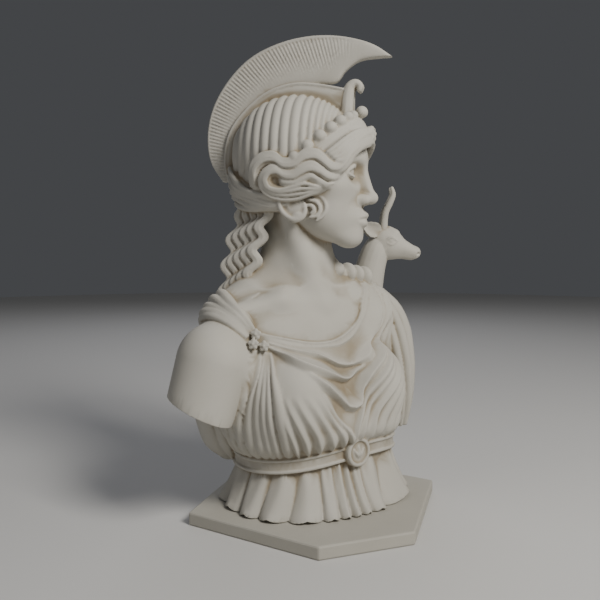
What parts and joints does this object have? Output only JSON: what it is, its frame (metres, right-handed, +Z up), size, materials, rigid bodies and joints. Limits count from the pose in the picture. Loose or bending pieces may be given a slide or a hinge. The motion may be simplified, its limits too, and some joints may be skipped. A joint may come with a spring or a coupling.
{
  "type": "artemis bust",
  "caption": "Cast stone bust of a helmeted huntress with a fan crest, beaded diadem, waved hair, draped dress and a small deer at the left shoulder, standing on a six-sided plinth.",
  "frame": {"origin": "middle of the plinth's flat underside", "axes": "+Z up; -Y towards the plinth's front edge, which the belt boss roughly faces; +X towards the figure's left hand"},
  "size_m": [0.2901, 0.228, 0.4697],
  "materials": {
    "figure_stone": "matt cast stone, warm light grey, slightly darker and browner in the folds",
    "plinth_stone": "matt cast stone, warm light grey"
  },
  "bodies": {
    "root": {"bust": "figure_stone", "plinth": "plinth_stone"}
  },
  "joints": []
}
